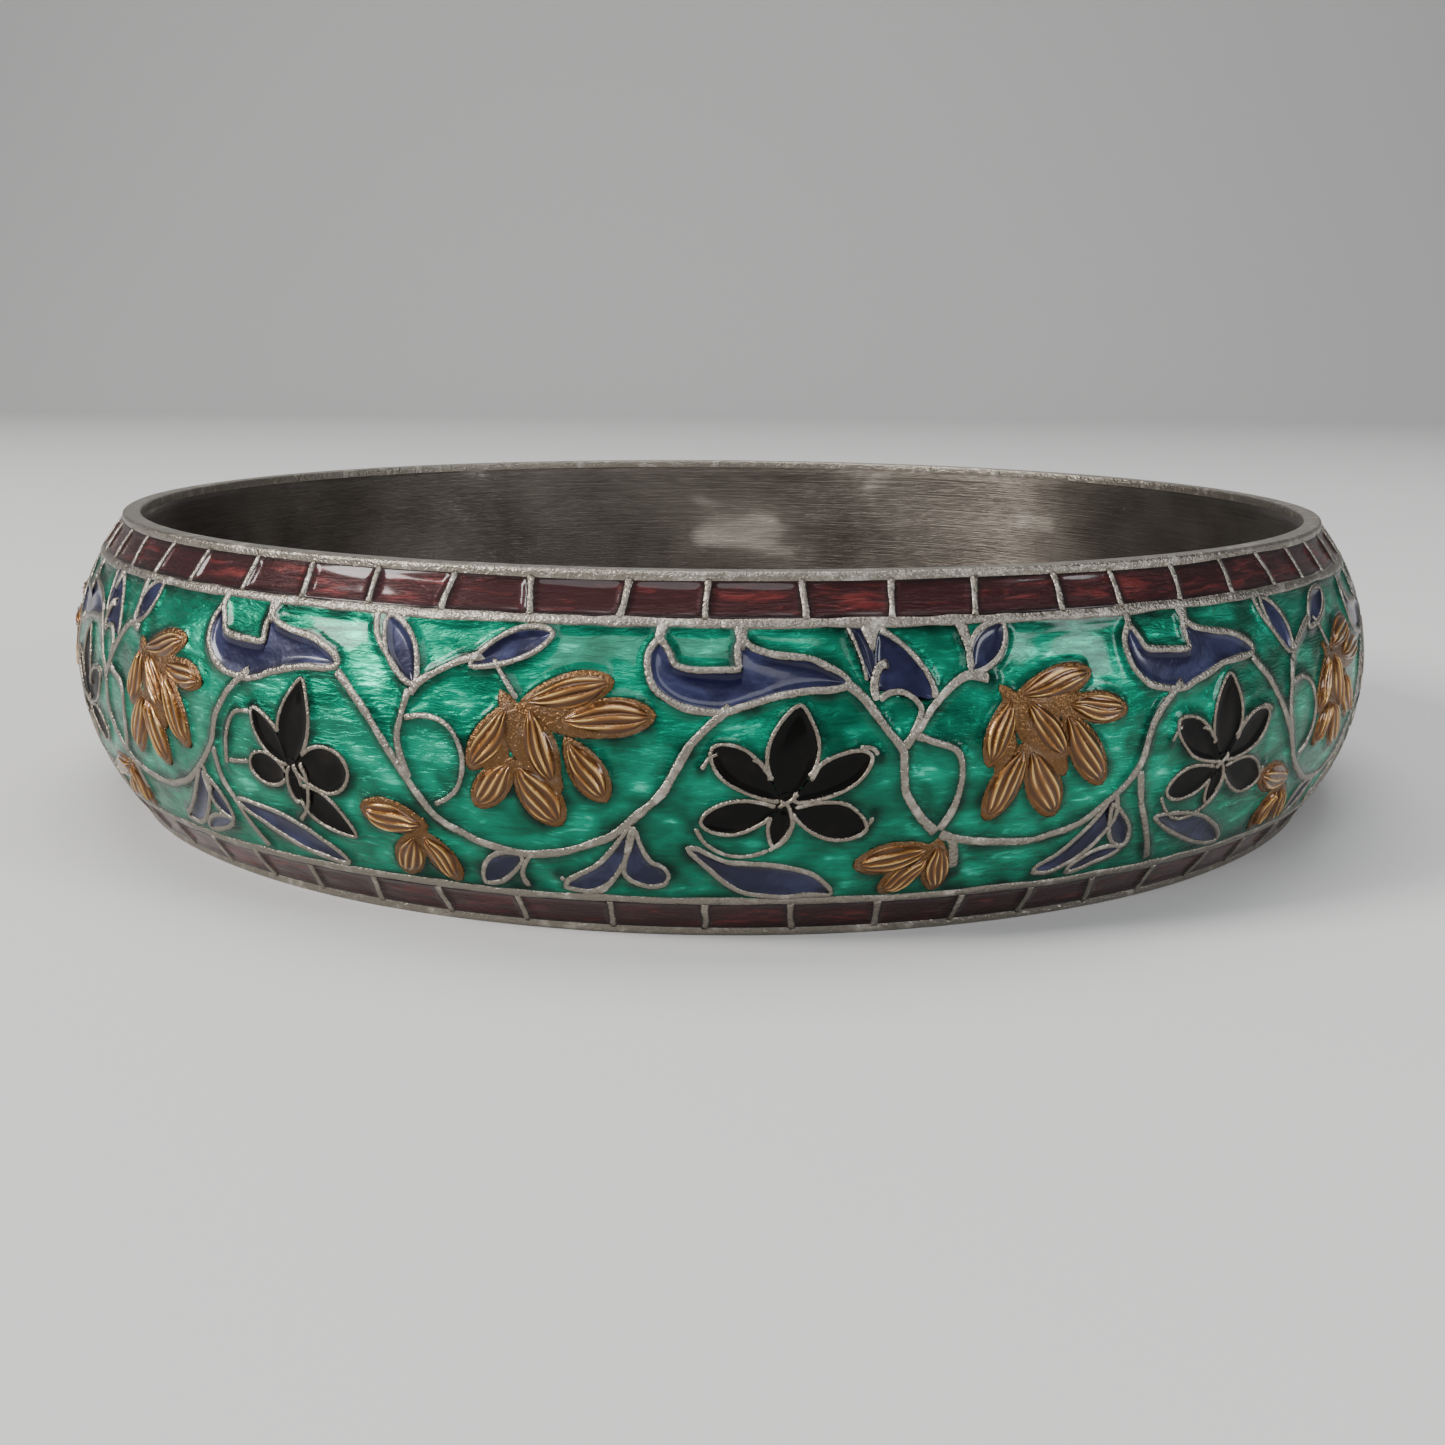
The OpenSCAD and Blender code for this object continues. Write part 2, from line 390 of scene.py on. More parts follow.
def colour(red, green, blue):
    return (red, green, blue, 1.0)


coat = {"Coat Weight": 0.75, "Coat Roughness": 0.1, "Coat IOR": 1.42, "Specular IOR Level": 0.2}

# bright: cut silver seen through the green, partly a painted highlight; pale: painted glints
green = {"dark": colour(0.0, 0.014, 0.009), "body": colour(0.0005, 0.095, 0.052),
         "bright": colour(0.006, 0.36, 0.21), "pale": colour(0.07, 0.75, 0.5)}


def greenEnamel():
    # clear green over cut silver: bright strokes along the band, partly the silver's own colour and partly
    # painted highlight, pale painted glints where the strokes peak, dark where it thickens at the walls
    f = Finish("greenEnamel", {"Metallic": 0.85, **coat, "Coat Weight": 0.3})
    deep = f.mark("tone")
    strokes = f.noise(9.0, 38.0, 4.0, 0.6, 0.6)
    clouds = f.noise(5.0, 8.0, 2.0, 0.5, 0.3)
    # the bright strokes: partly the cut silver's colour, partly painted highlight
    share = f.ramp(clouds + strokes * 0.25, 0.42, 0.9) * (deep * 0.75 + 0.25)
    # painted glints: pale spots where the strokes peak, away from the walls
    paintedGlint = f.ramp(strokes + clouds * 0.6, 0.88, 1.15) * deep
    base = f.mix(f.ramp(deep + clouds * 0.6, 0.15, 0.95), green["dark"], green["body"])
    base = f.mix(share, base, green["bright"])
    base = f.mix(paintedGlint, base, green["pale"])
    f.set("Base Color", base)
    f.set("Roughness", 0.46 - 0.2 * strokes)
    f.bump(strokes + clouds * 0.6, 0.0001)
    return f.material


# navy: the colour of a painted shadow on the blue
blue = {"dark": colour(0.003, 0.0032, 0.018), "body": colour(0.008, 0.009, 0.036),
        "pale": colour(0.022, 0.026, 0.075), "shadowNavy": colour(0.001, 0.001, 0.024)}


def blueEnamel():
    # nearly opaque navy, paler in slow clouds, and darker navy where its second mark holds a painted shadow
    f = Finish("blueEnamel", {"Metallic": 0.25, "Roughness": 0.4, **coat, "Coat Weight": 0.5})
    deep = f.mark("tone")
    clouds = f.noise(6.0, 9.0, 3.0, 0.5, 0.4)
    grain = f.noise(60.0, 60.0, 2.0)
    base = f.mix(f.ramp(deep + clouds * 0.5, 0.2, 0.9), blue["dark"], blue["body"])
    base = f.mix(f.ramp(clouds + grain * 0.1, 0.48, 0.75), base, blue["pale"])
    # painted shadow: the second mark, set along the hook's upper edge, turns the enamel darker navy
    cast = f.mark("warm")
    base = f.mix(f.ramp(cast, 0.25, 0.75), base, blue["shadowNavy"])
    f.set("Base Color", base)
    f.bump(clouds + grain * 0.15, 0.00008)
    return f.material


black = {"body": colour(0.0015, 0.0013, 0.001), "brown": colour(0.009, 0.006, 0.004)}


def blackEnamel():
    # opaque black with a brown cast where it thins
    f = Finish("blackEnamel", {"Roughness": 0.55, **coat, "Coat Weight": 0.2, "Specular IOR Level": 0.06})
    clouds = f.noise(9.0, 9.0, 3.0)
    f.set("Base Color", f.mix(f.ramp(clouds, 0.45, 0.8), black["body"], black["brown"]))
    f.bump(clouds, 0.00006)
    return f.material


maroon = {"dark": colour(0.007, 0.002, 0.002), "body": colour(0.03, 0.0065, 0.007),
          "red": colour(0.12, 0.02, 0.019)}


def maroonEnamel():
    # clear dark red over silver, with redder strokes along the row
    f = Finish("maroonEnamel", {"Metallic": 0.45, "Roughness": 0.4, **coat, "Coat Weight": 0.45})
    deep = f.mark("tone")
    strokes = f.noise(6.0, 46.0, 4.0, 0.6, 0.5)
    clouds = f.noise(3.5, 9.0, 2.0)
    base = f.mix(f.ramp(deep + clouds * 0.4, 0.1, 0.8), maroon["dark"], maroon["body"])
    base = f.mix(f.ramp(strokes + clouds * 0.6, 0.78, 1.0) * deep, base, maroon["red"])
    f.set("Base Color", base)
    f.bump(strokes, 0.00012)
    return f.material


amber = {"dark": colour(0.07, 0.026, 0.006), "body": colour(0.24, 0.1, 0.022),
         "gold": colour(0.56, 0.36, 0.13)}


def amberEnamel():
    # clear amber that pools between chased ribs, which show through as gold
    f = Finish("amberEnamel", {"Metallic": 0.7, "Roughness": 0.34, **coat})
    rib = f.mark("tone")
    clouds = f.noise(7.0, 7.0, 3.0)
    base = f.mix(f.ramp(rib + clouds * 0.3, 0.1, 0.6), amber["dark"], amber["body"])
    base = f.mix(f.ramp(rib + clouds * 0.35, 0.72, 1.05), base, amber["gold"])
    f.set("Base Color", base)
    f.bump(f.noise(40.0, 40.0, 3.0), 0.00005)
    return f.material


silver = {"dull": colour(0.055, 0.045, 0.037), "body": colour(0.25, 0.225, 0.19),
          "bright": colour(0.5, 0.46, 0.4), "brown": colour(0.15, 0.078, 0.034)}
# the liner's colours are far darker than silver: painted shade for the dark surroundings a polished liner
# reflects
liner = {"dull": colour(0.062, 0.053, 0.045), "body": colour(0.12, 0.105, 0.09),
         "bright": colour(0.32, 0.29, 0.25)}


def wornSilver():
    # rubbed bright on top and dull in the corners, browner where amber has run over it
    f = Finish("wornSilver", {"Metallic": 1.0})
    top, warm = f.mark("tone"), f.mark("warm")
    patches = f.noise(12.0, 12.0, 3.0, 0.6)
    pits = f.noise(70.0, 70.0, 2.0)
    base = f.mix(f.ramp(top + patches * 0.5, 0.3, 1.0), silver["dull"], silver["body"])
    base = f.mix(f.ramp(patches, 0.5, 0.75) * top, base, silver["bright"])
    base = f.mix((warm * (1.5 - patches * 0.7)).held(), base, silver["brown"])
    f.set("Base Color", base)
    f.set("Roughness", (0.24 + patches * 0.25).held())
    f.bump(pits + patches * 0.6, 0.00008)
    return f.material


def linerSilverPaintedShade():
    # polished silver coloured far darker than silver, a painted shade standing in for the dark surroundings
    # it reflects, with fine scratches round the ring, dull cloudy patches and paler ones
    f = Finish("linerSilverPaintedShade", {"Metallic": 1.0})
    scratches = f.noise(1.5, 120.0, 4.0, 0.7)
    clouds = f.noise(1.1, 1.7, 3.0, 0.5, 0.4)
    base = f.mix(f.ramp(clouds + scratches * 0.25, 0.4, 0.8), liner["dull"], liner["body"])
    base = f.mix(f.ramp(clouds, 0.6, 0.76), base, liner["bright"])
    f.set("Base Color", base)
    f.set("Roughness", (0.2 + clouds * 0.2 + scratches * 0.1).held())
    f.bump(scratches + clouds * 1.2, 0.00006)
    return f.material


finishes = {"green": greenEnamel(), "blue": blueEnamel(), "black": blackEnamel(),
            "maroon": maroonEnamel(), "amber": amberEnamel(), "silver": wornSilver(),
            "liner": linerSilverPaintedShade()}
print("finishes made")

# ---- rings: rims, liner, border walls ----

ringCount = 480


def turned(piece, profile, waver):
    # a closed profile of radius and height carried round the ring, its radius wavering a little
    r, z = np.asarray(profile, float).T
    angle = np.linspace(0, 2 * np.pi, ringCount, endpoint=False)[:, None]
    radius = r[None] + unsteady(ringCount, 40, waver, closed=True)[:, None] * (r > boreRadius + 0.1)
    height = np.broadcast_to(z, radius.shape)
    points = np.stack([radius * np.sin(angle), -radius * np.cos(angle), height], -1)
    sides = len(r)
    quads = tubeQuads(ringCount, sides, closed=True)
    girth = runAlong(np.stack([r, z], -1))
    uv = np.stack(np.broadcast_arrays(angle * boreRadius / 10, girth / 10), -1)
    marks = np.broadcast_to([0.85, 0.0], (ringCount, sides, 2))
    piece.lump(points * mm, quads, [], np.zeros(quads.size // 4, bool), uv, marks)


def roundedBox(r0, r1, z0, z1, bends, steps=4):
    # r0 to r1 and z0 to z1 with a quarter circle of its own size at each corner, outer low corner first
    corners = [(r1, z0, -90), (r1, z1, 0), (r0, z1, 90), (r0, z0, 180)]
    outline = []
    for (r, z, start), bend in zip(corners, bends):
        cr = r - bend if r == r1 else r + bend
        cz = z + bend if z == z0 else z - bend
        turn = np.radians(start + np.linspace(0, 90, steps))
        outline += [(cr + bend * math.cos(a), cz + bend * math.sin(a)) for a in turn]
    return outline


rim = {"foot": 0.12, "soft": 0.05, "waver": 0.018}
bottomRim = Piece()
turned(bottomRim, roundedBox(boreRadius, rimRadius, 0, rimHeight + rim["foot"],
                             (band["rimRound"], rim["soft"], rim["soft"], 0.1)), rim["waver"])
bottomRim.make("bottomRim", "silver", finishes["silver"], "bottom_rim")
topRim = Piece()
turned(topRim, roundedBox(boreRadius, rimRadius, bandHeight - rimHeight - rim["foot"], bandHeight,
                          (rim["soft"], band["rimRound"], 0.1, rim["soft"])), rim["waver"])
topRim.make("topRim", "silver", finishes["silver"], "top_rim")

linerPiece = Piece()
linerWall = np.linspace(rimHeight, bandHeight - rimHeight, 24)
linerOuter = boreRadius + 0.33
inside = [(boreRadius + 0.02 * math.sin(z * 1.3) ** 2, z) for z in linerWall[::-1]]
turned(linerPiece, [(linerOuter, linerWall[0]), (linerOuter, linerWall[-1])] + inside, 0.0)
linerPiece.make("liner", "liner_silver", finishes["liner"], "inner_liner")
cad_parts["domed_shell"].data.materials.clear()
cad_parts["domed_shell"].data.materials.append(finishes["silver"])

border = {"points": 1100, "bends": 90, "meander": 0.018, "swells": 260, "waver": 0.1}
borderHalf = (wallHigh - wallLow) / 2
wallMiddle = (wallLow + wallHigh) / 2


def borderWall(y):
    # a line round the band at height y, its height and its half width wavering
    count = border["points"]
    x = np.linspace(0, roundTheBand, count, endpoint=False)
    path = np.stack([x, y + unsteady(count, border["bends"], border["meander"], closed=True)], -1)
    half = borderHalf * (1 + unsteady(count, border["swells"], border["waver"], closed=True))
    return path, np.clip(half, 0.12, 0.3)


for label, y in (("bottom", wallMiddle), ("top", bandHeight - wallMiddle)):
    path, half = borderWall(y)
    borderPiece = Piece()
    # the first point comes again at the end, so the wall meets itself all round
    borderPiece.wall(np.vstack([path, [roundTheBand, path[0, 1]]]), np.append(half, half[0]))
    borderPiece.make(label + "BorderWall", "silver", finishes["silver"], label + "_border_wall")
print("rings made")

# ---- the drawn pattern ----
# Points are (degrees round the band, height) on a band drawn 13.67 high.
# Two scrolls are drawn: "open", to the right of the flower at 4.15 degrees, and "round", to the
# right of the one at -30.2.

drawnHeight = 13.67
flowers = {
    "broad": {
        "at": 4.15, "hub": ((4.2, 5.25), (4.15, 6.15), 0.4),
        "petals": [  # base, tip, half width, bluntness, widest at
            ((4.0, 5.8), (5.0, 9.2), 0.84, 0.8, 0.52),
            ((3.7, 5.9), (-0.45, 7.75), 0.62, 0.62, 0.6),
            ((4.7, 5.9), (9.4, 7.45), 0.6, 0.62, 0.58),
            ((3.6, 5.5), (-1.1, 5.0), 0.56, 0.6, 0.58),
            ((4.6, 5.45), (9.3, 4.7), 0.66, 0.68, 0.55),
            ((4.1, 5.7), (3.45, 4.1), 0.36, 0.8, 0.5),
        ],
        "walls": [  # half width, points
            (0.085, [(4.66, 4.85), (3.9, 4.3), (3.0, 3.85)]),
            (0.085, [(-1.6, 4.85), (-0.9, 4.2), (0.4, 3.75), (1.9, 3.7), (3.2, 3.95)]),
            (0.09, [(8.6, 7.72), (9.4, 7.7), (10.0, 7.42)]),
            (0.07, [(-0.1, 7.55), (-0.7, 7.4), (-1.25, 6.95)]),
            (0.09, [(1.9, 7.42), (2.6, 7.2), (3.0, 6.85)]),
            (0.1, [(5.6, 6.55), (6.1, 7.1), (6.9, 7.45)]),
            (0.08, [(9.35, 4.75), (9.8, 5.2)]),
            (0.1, [(4.55, 5.2), (4.62, 4.95), (4.2, 4.5)]),
        ],
    },
    "narrow": {
        "at": -30.2, "hub": ((-30.0, 5.4), (-30.0, 6.2), 0.34),
        "petals": [
            ((-30.1, 5.9), (-29.1, 9.25), 0.7, 0.85, 0.45),
            ((-30.4, 6.0), (-33.4, 7.9), 0.46, 0.75, 0.5),
            ((-30.7, 5.5), (-33.8, 5.75), 0.6, 0.5, 0.52),
            ((-30.0, 5.9), (-29.8, 4.5), 0.26, 0.6, 0.5),
            ((-29.7, 5.9), (-25.2, 6.0), 0.86, 0.6, 0.58),
            ((-29.5, 5.0), (-25.5, 3.4), 0.6, 0.8, 0.42),
        ],
        "walls": [
            (0.1, [(-29.3, 6.1), (-28.7, 5.4), (-29.1, 4.3), (-30.2, 3.6)]),
            (0.1, [(-33.6, 7.8), (-35.3, 7.6), (-36.2, 6.6), (-36.4, 5.4)]),
            (0.1, [(-34.0, 5.8), (-36.3, 5.6)]),
        ],
    },
}
hook = {
    "stations": [
        (-4.05, 11.35, -4.0, 11.4), (-4.5, 10.8, -3.5, 10.95), (-4.15, 9.95, -3.1, 10.55),
        (-2.5, 9.3, -2.3, 10.4), (-0.1, 9.08, -0.5, 10.33), (0.9, 9.2, 1.25, 10.36),
        (1.5, 9.3, 1.25, 10.75), (2.0, 9.4, 1.3, 11.3), (2.6, 9.5, 2.0, 11.05),
        (3.7, 9.68, 3.5, 10.85), (5.4, 9.82, 5.8, 10.66), (7.0, 9.86, 7.3, 10.3),
        (8.0, 9.95, 8.02, 9.99)],
    "spikes": [
        (0.22, 0.13, [(-3.75, 12.05), (-3.95, 11.65), (-4.05, 11.25)]),
        (0.34, 0.14, [(1.3, 12.05), (1.28, 11.6), (1.36, 11.1)]),
    ],
}
scrolls = {
    "open": {
        "at": 4.15, "next": 37.2,
        "bareStations": [
            [(10.4, 11.62, 10.2, 11.6), (11.3, 11.3, 9.9, 11.0), (12.2, 10.85, 9.8, 10.4),
             (13.0, 10.3, 9.75, 10.1), (13.4, 9.9, 9.85, 9.8), (13.6, 9.62, 11.0, 9.6),
             (13.62, 9.4, 13.4, 9.35)],
            [(8.9, 11.9, 8.3, 11.9), (9.6, 11.4, 8.75, 11.2), (9.8, 10.9, 9.1, 10.6),
             (9.85, 10.45, 9.35, 10.2), (9.8, 10.1, 9.6, 9.9)],
        ],
        "blueStations": [
            [(-1.9, 3.95, -1.85, 4.0), (-0.8, 3.3, 0.26, 3.4), (0.2, 2.75, 1.6, 3.3), (1.6, 2.2, 3.0, 3.25),
             (3.4, 2.0, 4.6, 3.1), (5.3, 2.0, 6.0, 2.85), (7.4, 2.0, 7.42, 2.05)],
            [(22.1, 2.3, 22.05, 2.4), (23.6, 2.3, 23.4, 2.8), (25.2, 2.75, 24.6, 3.35),
             (26.6, 3.5, 25.7, 4.0), (27.5, 4.35, 26.5, 4.6), (27.3, 5.15, 27.2, 5.2)],
        ],
        "blueLeaves": [  # base, tip, half width, bow, widest at
            ((16.4, 10.25), (19.0, 11.8), 0.5, 0.05, 0.5),
            ((27.3, 4.75), (29.2, 3.0), 0.36, -0.1, 0.6), ((25.0, 2.15), (28.9, 2.85), 0.22, 0.12, 0.5),
        ],
        "stems": [  # half width, points
            (0.19, [(7.9, 10.0), (9.06, 9.4), (10.35, 8.4), (11.45, 7.6), (11.6, 6.9), (11.8, 6.0),
                    (12.7, 5.2), (14.1, 4.35)]),
            (0.18, [(11.5, 7.65), (12.5, 8.3), (13.65, 9.15), (15.7, 10.05), (17.6, 9.95)]),
            (0.16, [(12.3, 8.15), (13.5, 7.85), (15.1, 7.45), (15.5, 6.6), (15.1, 5.4), (14.15, 4.45)]),
            (0.17, [(14.2, 4.3), (15.9, 4.06), (18.3, 3.83), (20.8, 3.76), (23.6, 4.02), (25.6, 4.54),
                    (27.8, 5.48), (29.1, 6.3), (29.8, 7.5), (30.75, 8.26), (32.2, 8.94), (33.1, 9.25)]),
            (0.16, [(29.1, 6.1), (29.65, 4.8), (30.75, 3.68), (32.4, 1.98)]),
            (0.12, [(9.9, 9.35), (10.7, 9.62), (11.7, 9.62), (12.5, 9.3), (12.75, 8.9), (12.1, 8.05)]),
            (0.12, [(10.3, 11.75), (11.3, 11.42), (12.3, 10.95), (13.1, 10.38), (13.6, 9.8), (13.72, 9.3)]),
            (0.16, [(10.75, 10.62), (10.15, 10.5), (9.85, 10.15), (9.7, 9.75), (9.9, 9.3)]),
            (0.08, [(8.2, 11.9), (8.7, 11.2), (9.05, 10.6), (9.35, 10.0)]),
            (0.2, [(14.2, 4.35), (15.2, 4.1), (15.5, 3.4), (15.6, 2.8)]),
        ],
        "spikes": [  # half width at the root, half width at the end, points
            (0.5, 0.06, [(9.75, 12.05), (9.7, 11.6), (9.75, 11.0)]),
            (0.26, 0.1, [(15.9, 12.05), (16.2, 11.3), (16.4, 10.3)]),
        ],
        "amberLobes": [  # base, tip, half width
            ((19.6, 9.3), (24.8, 9.95), 0.46), ((23.1, 8.85), (27.5, 8.5), 0.46),
            ((22.9, 8.5), (25.8, 5.9), 0.56), ((20.1, 9.1), (22.8, 7.1), 0.48),
            ((18.9, 9.2), (17.4, 7.0), 0.44), ((19.7, 7.4), (17.5, 4.95), 0.52),
            ((20.2, 7.3), (22.3, 4.85), 0.6)],
        "grounds": [((18.5, 9.5), (22.9, 6.3), 0.8), ((19.6, 9.15), (26.2, 8.6), 0.62),
                    ((18.4, 8.6), (18.6, 5.6), 0.6), ((13.9, 3.8), (12.6, 2.5), 0.5)],
        "budLobes": [((13.6, 3.75), (9.1, 3.2), 0.5), ((14.3, 3.9), (14.6, 2.1), 0.44),
                     ((13.7, 3.4), (11.0, 2.1), 0.4)],
    },
    "round": {
        "at": -30.2, "next": 4.15,
        "blueStations": [
            [(-10.2, 2.15, -10.15, 2.3), (-8.6, 2.05, -9.3, 2.6), (-7.3, 2.5, -8.0, 3.05),
             (-6.5, 3.2, -7.1, 3.6), (-5.95, 3.9, -6.4, 4.1), (-5.55, 4.75, -5.6, 4.78)],
            [(-5.5, 4.65, -5.55, 4.7), (-5.85, 3.7, -5.1, 3.9), (-6.1, 3.0, -4.5, 3.3),
             (-5.7, 2.6, -3.9, 3.15), (-4.6, 2.4, -3.5, 2.85), (-3.7, 2.5, -3.6, 2.65)],
        ],
        "blueLeaves": [
            ((-20.3, 9.6), (-22.9, 11.75), 0.5, -0.06, 0.5),
            ((-16.2, 10.35), (-11.1, 11.5), 0.42, 0.08, 0.55),
            ((-16.0, 2.1), (-13.2, 3.35), 0.42, 0.1, 0.5),
            ((-36.2, 3.95), (-27.0, 2.1), 0.46, 0.1, 0.55),
        ],
        "stems": [
            (0.18, [(-26.4, 9.75), (-25.2, 9.2), (-23.9, 8.5), (-21.7, 6.95), (-20.4, 5.86), (-18.95, 4.8),
                    (-17.1, 4.13), (-15.1, 3.7), (-13.2, 3.5), (-11.3, 3.53), (-9.1, 3.83), (-7.0, 4.36),
                    (-5.25, 5.2), (-3.4, 6.3), (-1.95, 7.8), (-0.1, 8.86), (0.65, 9.2)]),
            (0.16, [(-20.5, 6.0), (-21.2, 7.4), (-20.9, 8.4), (-20.5, 9.4)]),
            (0.17, [(-20.5, 9.1), (-19.7, 9.7), (-17.7, 10.3), (-15.5, 10.7)]),
            (0.12, [(-20.85, 8.3), (-19.1, 8.45), (-17.4, 8.05), (-16.6, 7.1), (-16.8, 6.1), (-17.6, 5.5),
                    (-18.8, 5.1)]),
            (0.1, [(-14.8, 10.6), (-13.9, 9.9), (-12.9, 9.2)]),
            (0.11, [(-10.7, 2.6), (-10.2, 2.35)]),
            (0.1, [(-6.9, 2.7), (-7.6, 2.1), (-8.3, 1.95)]),
        ],
        "spikes": [
            (0.3, 0.1, [(-21.6, 12.05), (-22.1, 11.75)]),
            (0.16, 0.1, [(-24.0, 12.05), (-23.6, 11.2), (-22.4, 10.4), (-20.7, 9.5)]),
            (0.13, 0.08, [(-12.9, 1.95), (-13.2, 2.6), (-12.6, 3.3), (-11.9, 3.5)]),
        ],
        "amberLobes": [
            ((-12.3, 9.2), (-7.1, 9.95), 0.5), ((-9.9, 8.6), (-4.4, 8.85), 0.56),
            ((-9.5, 7.8), (-7.3, 5.9), 0.52), ((-12.1, 8.9), (-10.6, 6.4), 0.48),
            ((-13.6, 8.9), (-15.9, 6.8), 0.46), ((-13.3, 6.95), (-15.6, 5.4), 0.5),
            ((-12.8, 6.85), (-10.3, 4.9), 0.62)],
        "grounds": [((-13.9, 9.3), (-10.2, 5.9), 0.85), ((-13.1, 8.95), (-6.4, 8.3), 0.66),
                    ((-14.2, 8.4), (-14.3, 5.9), 0.6), ((-19.9, 4.3), (-21.0, 2.6), 0.5)],
        "budLobes": [((-19.9, 4.25), (-24.2, 4.65), 0.54), ((-20.7, 3.7), (-22.0, 2.2), 0.5),
                     ((-19.9, 3.8), (-18.1, 2.15), 0.46)],
    },
}

repeats = {
    "count": 11,
    "first": 4.15,  # degrees from the front to the first flower
    "moved": {2: 0.33, 11: -1.62},  # flowers set a little off their even places
    "narrow": (5, 8, 11),  # repeats with the narrow flower
    "round": (2, 4, 6, 8, 11),  # repeats with the round scroll
}
pitch = 360 / repeats["count"]


def flowerAngle(i):
    turn, k = divmod(i - 1, repeats["count"])
    return repeats["first"] + (i - 1) * pitch + repeats["moved"].get(k + 1, 0.0)


def drift(points):
    # slow sines round the ring move the drawing a little; the front stays as drawn
    x, y = points[:, 0], points[:, 1]
    turn = x / faceRadius
    away = np.clip((np.abs((turn + np.pi) % (2 * np.pi) - np.pi) - 1.0) / 0.5, 0, 1)
    inside = np.clip((y - fieldLow) * (fieldHigh - y) / 8, 0, 1)
    dx = 0.22 * np.sin(13 * turn + 0.5 * y) + 0.16 * np.sin(29 * turn - 0.8 * y + 1.0)
    dy = 0.16 * np.sin(17 * turn + 0.6 * y + 2.0) + 0.12 * np.sin(37 * turn + 0.4)
    return points + np.stack([dx * away * inside, dy * away * inside], -1)


def placed(points, origin, i, stretch=1.0):
    # drawn points to millimetres on the unrolled band, moved to repeat i
    p = np.asarray(points, float)
    x = (flowerAngle(i) + (p[..., 0] - origin) * stretch) * perDegree
    return np.stack([x, p[..., 1] * bandHeight / drawnHeight], -1)


wallMaking = {"step": 0.13, "waver": 0.07, "flare": 0.32, "flareReach": 0.3, "meander": 0.016}


def drawnWall(points, half, endHalf=None, closed=False, smooth=True):
    # an evenly pointed line and its half width at each point, flared where it runs into others
    if smooth:
        points = throughPoints(points, 24 * len(points), closed)
    path = evenly(points, wallMaking["step"], closed)
    count = len(path)
    knots = max(count // 5, 4)
    width = np.full(count, half, float) if endHalf is None else np.linspace(half, endHalf, count)
    width = width * (1 + np.clip(unsteady(count, knots, wallMaking["waver"], closed), -0.2, 0.25))
    path = path + crossing(path, closed) * unsteady(count, knots, wallMaking["meander"], closed)[:, None]
    if not closed:
        run = np.arange(count) * wallMaking["step"]
        end = np.minimum(run, run[::-1])
        width = width * (1 + wallMaking["flare"] * np.exp(-end / wallMaking["flareReach"]))
    return path, width


def ringWalls(outline, half):
    # a closed wall just outside an outline
    loop = outline if turnsLeft(outline) else outline[::-1]
    loop = evenly(loop, wallMaking["step"], closed=True)
    return drawnWall(loop - crossing(loop, True) * half * 0.7, half, closed=True, smooth=False)


def insideLoop(x, y, px, py):
    # whether each x, y lies in the loop px, py: a line to the right crosses an odd number of edges
    qx, qy = np.roll(px, -1), np.roll(py, -1)
    spans = (py > y) != (qy > y)
    meets = px + (y - py) * (qx - px) / np.where(qy == py, 1e-9, qy - py)
    return (spans & (meets > x)).sum(-1) % 2 == 1


def outsideAll(points, loops):
    # which points lie in none of the loops
    outside = np.ones(len(points), bool)
    for loop in loops:
        outside &= ~insideLoop(points[:, :1], points[:, 1:], *loop.T)
    return outside


wallHalf = {"petal": 0.09, "hook": 0.15, "leaf": 0.12}
warmth = {"petal": 0.15, "flower": 0.1}  # how brown the flowers' walls are


def partWalls(outline, others, half):
    # walls along the stretches of an outline that lie outside its neighbours
    loop = outline if turnsLeft(outline) else outline[::-1]
    loop = evenly(loop, wallMaking["step"] / 2, closed=True)
    loop = loop - crossing(loop, True) * half * 0.7
    kept = outsideAll(loop, others)
    if kept.all():
        return [drawnWall(loop, half, closed=True, smooth=False)]
    loop, kept = np.roll(loop, -np.argmin(kept), 0), np.roll(kept, -np.argmin(kept))
    starts = np.flatnonzero(kept & ~np.roll(kept, 1))
    ends = np.flatnonzero(kept & ~np.roll(kept, -1))
    return [drawnWall(loop[a:b + 1], half, smooth=False) for a, b in zip(starts, ends) if b - a > 5]


enamel = {"dip": 0.075, "climb": 0.085, "reach": 0.16, "deepAt": 0.65}


def glazed(gap, ripple=0.0):
    # the enamel's lift: dished between walls and climbing to them, from the gap to the nearest wall
    climb = enamel["climb"] * np.exp(-((np.maximum(gap, 0) / enamel["reach"]) ** 2))
    return -enamel["dip"] + climb + ripple


shadow = {"from": 0.45, "sharp": 4, "middle": 0.38, "reach": 0.2}  # as shares of the patch


